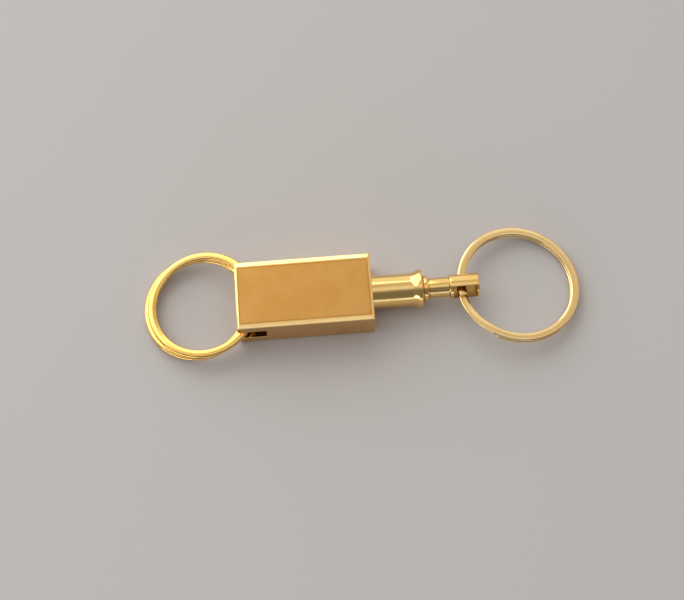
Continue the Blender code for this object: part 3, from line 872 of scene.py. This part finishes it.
def wound_ring(diameter, width, turn_height, shift, step_at, climb, place):
    """Two turns of wire. The climb between them is an angle, centred on the angle step_at, and
    the shift is how far the upper turn lies off the lower one."""
    end_gap = math.radians(2)
    rise = turn_height + turn_gap
    middle = (diameter - width) / 2
    form = bmesh.new()
    section = bmesh.ops.create_circle(form, cap_ends=False, radius=1, segments=36)["verts"]
    for number, vert in enumerate(section):
        across, up = squared(math.tau * number / len(section))
        vert.co = (middle + width / 2 * across, 0, turn_height / 2 * up - rise / 2)
    begin = step_at + climb / 2 + end_gap
    bmesh.ops.rotate(form, cent=(0, 0, 0), matrix=Matrix.Rotation(begin, 3, "Z"), verts=form.verts)
    bmesh.ops.translate(form, vec=(-shift / 2, 0, 0), verts=form.verts)
    first = list(form.edges)
    geom = form.verts[:] + form.edges[:]
    level = math.tau - climb - end_gap
    centre = Vector((-shift / 2, 0, 0))

    def sweep(angle, steps, climbed):
        nonlocal geom, centre
        move = Vector((shift * climbed / steps, 0, rise * climbed / steps))
        made = bmesh.ops.spin(form, geom=geom, cent=centre, axis=(0, 0, 1), dvec=move,
                              angle=angle, steps=steps, use_merge=False)
        geom = made["geom_last"]
        centre = centre + Vector((move.x, 0, 0)) * steps

    sweep(level, level_steps, 0)
    for step in range(climb_steps):
        climbed = eased((step + 1) / climb_steps) - eased(step / climb_steps)
        sweep(climb / climb_steps, 1, climbed)
    sweep(level, level_steps, 0)
    last = [e for e in geom if isinstance(e, bmesh.types.BMEdge)]
    for loop in (first, last):
        bmesh.ops.edgeloop_fill(form, edges=loop)
    bmesh.ops.recalc_face_normals(form, faces=form.faces)
    ends = [e for e in form.edges if e.calc_face_angle(0) > math.radians(60)]
    bevel_edges(form, ends, end_round, 2)
    bmesh.ops.transform(form, matrix=place, verts=form.verts)
    return form


# %% [markdown]
# Both rings lie as they fell: one side rests on the table, and the other is held up by the slot
# or by the window. They are wound a hair smaller than the solids and set a hair higher, because a
# smoother wire bulges past the solids' facets and would dip into the table.

# %% Where a ring lies
facet_allowance = 0.05 * mm
facet_lift = Vector((0, 0, 0.014 * mm))


def ring_place(from_socket, turn_about, turn_degrees, tip_degrees):
    """The ring's centre is measured from the socket face. The ring is first tipped about Y, and
    then turned about the axis that is named."""
    tipped = Matrix.Rotation(math.radians(tip_degrees), 4, "Y")
    turned = Matrix.Rotation(math.radians(turn_degrees), 4, turn_about)
    return Matrix.Translation(socket_face + from_socket + facet_lift) @ turned @ tipped


# %% Left split ring
left_from_socket = Vector((-38.3026, 0.5201, -1.5738)) * mm
left_place = ring_place(left_from_socket, turn_about="Z", turn_degrees=-3.2, tip_degrees=-7.6098)
left_form = wound_ring(diameter=25.2 * mm - facet_allowance, width=1.9 * mm, turn_height=1.14 * mm,
                       shift=1.2 * mm, step_at=0, climb=math.radians(34), place=left_place)
finish_piece("gold_left_ring", left_form, [ring_gold], "left_ring", ["left_split_ring"])

# %% Right split ring
right_from_socket = Vector((32.8648, -0.0865, -1.651)) * mm
right_place = ring_place(right_from_socket, turn_about="X", turn_degrees=-3, tip_degrees=7.2837)
right_form = wound_ring(diameter=28.0 * mm - facet_allowance, width=1.92 * mm,
                        turn_height=0.88 * mm, shift=0, step_at=math.radians(217),
                        climb=math.radians(48), place=right_place)
finish_piece("gold_right_ring", right_form, [pale_ring_gold], "right_ring", ["right_split_ring"])

# %% [markdown]
# The return spring is hidden behind the sleeve. It is a circle spun round the axis seven times
# while it moves forward. The sleeve presses it together.

# %% Return spring
spring_wire = 0.3 * mm
spring_orbit = 3.15 * mm
spring_rear = -15.25 * mm
spring_front = -6.35 * mm
spring_turns = 7
spring_steps = spring_turns * 40

spring_form = bmesh.new()
bmesh.ops.create_circle(spring_form, cap_ends=False, radius=spring_wire, segments=16)
bmesh.ops.translate(spring_form, vec=socket_face + Vector((spring_rear, spring_orbit, 0)),
                    verts=spring_form.verts)
rear_loop = list(spring_form.edges)
wound = bmesh.ops.spin(spring_form, geom=spring_form.verts[:] + rear_loop, cent=socket_face,
                       axis=(1, 0, 0), dvec=((spring_front - spring_rear) / spring_steps, 0, 0),
                       angle=math.tau * spring_turns, steps=spring_steps, use_merge=False)
front_loop = [e for e in wound["geom_last"] if isinstance(e, bmesh.types.BMEdge)]
for loop in (rear_loop, front_loop):
    bmesh.ops.edgeloop_fill(spring_form, edges=loop)
steel_spring = finish_piece("steel_return_spring", spring_form, [spring_steel], "holder",
                            ["return_spring"])
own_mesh(steel_spring)

# %% [markdown]
# The pin and the balls are kept as the solid model has them, in their own metals.

# %% Pin and balls
for node, material in (("ring_pin", polished_gold), ("lock_ball_1", spring_steel),
                       ("lock_ball_2", spring_steel), ("lock_ball_3", spring_steel)):
    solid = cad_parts[node]
    solid.data.materials.clear()
    solid.data.materials.append(material)
    print(node, "gets", material.name)
